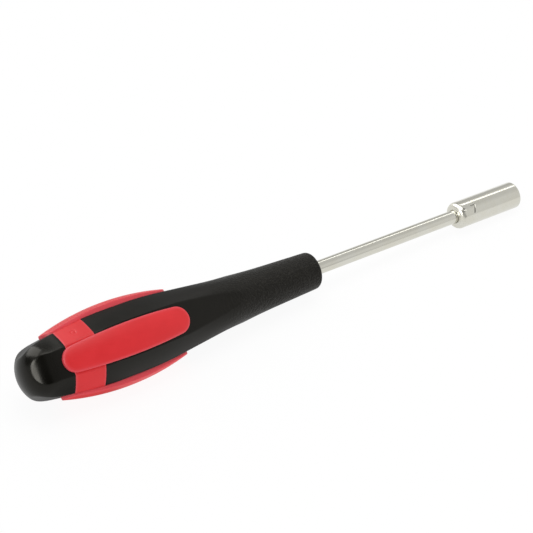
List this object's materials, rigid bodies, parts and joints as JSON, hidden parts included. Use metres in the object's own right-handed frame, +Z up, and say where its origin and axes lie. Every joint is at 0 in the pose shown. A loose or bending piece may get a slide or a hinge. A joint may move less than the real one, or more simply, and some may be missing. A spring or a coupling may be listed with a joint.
{
  "type": "nut driver",
  "caption": "Hand nut driver: a deep hex socket staked on a round plated blade, in a tapered moulded handle with soft grip pads seated on its flats and a soft band between them.",
  "frame": {"origin": "on the tool's axis at the nut seat, where the hex ends and the stud clearance bore begins", "axes": "+X along the axis out of the socket's mouth, +Z up with the grip pads at 45 degrees to it, so the tool rests on two pads"},
  "size_m": [0.2145, 0.0268, 0.0268],
  "materials": {
    "blade_plating": "bright nickel plating over ground bar",
    "socket_plating": "bright nickel plating over turned steel",
    "handle_black": "glossy butt, satin panels and fine spark grain on the neck",
    "grip_red": "smooth satin soft plastic"
  },
  "bodies": {
    "root": {"blade": "blade_plating", "socket": "socket_plating", "handle_body": "handle_black", "grip_band": "grip_red", "grip_pad_1": "grip_red", "grip_pad_2": "grip_red", "grip_pad_3": "grip_red", "grip_pad_4": "grip_red"}
  },
  "joints": []
}
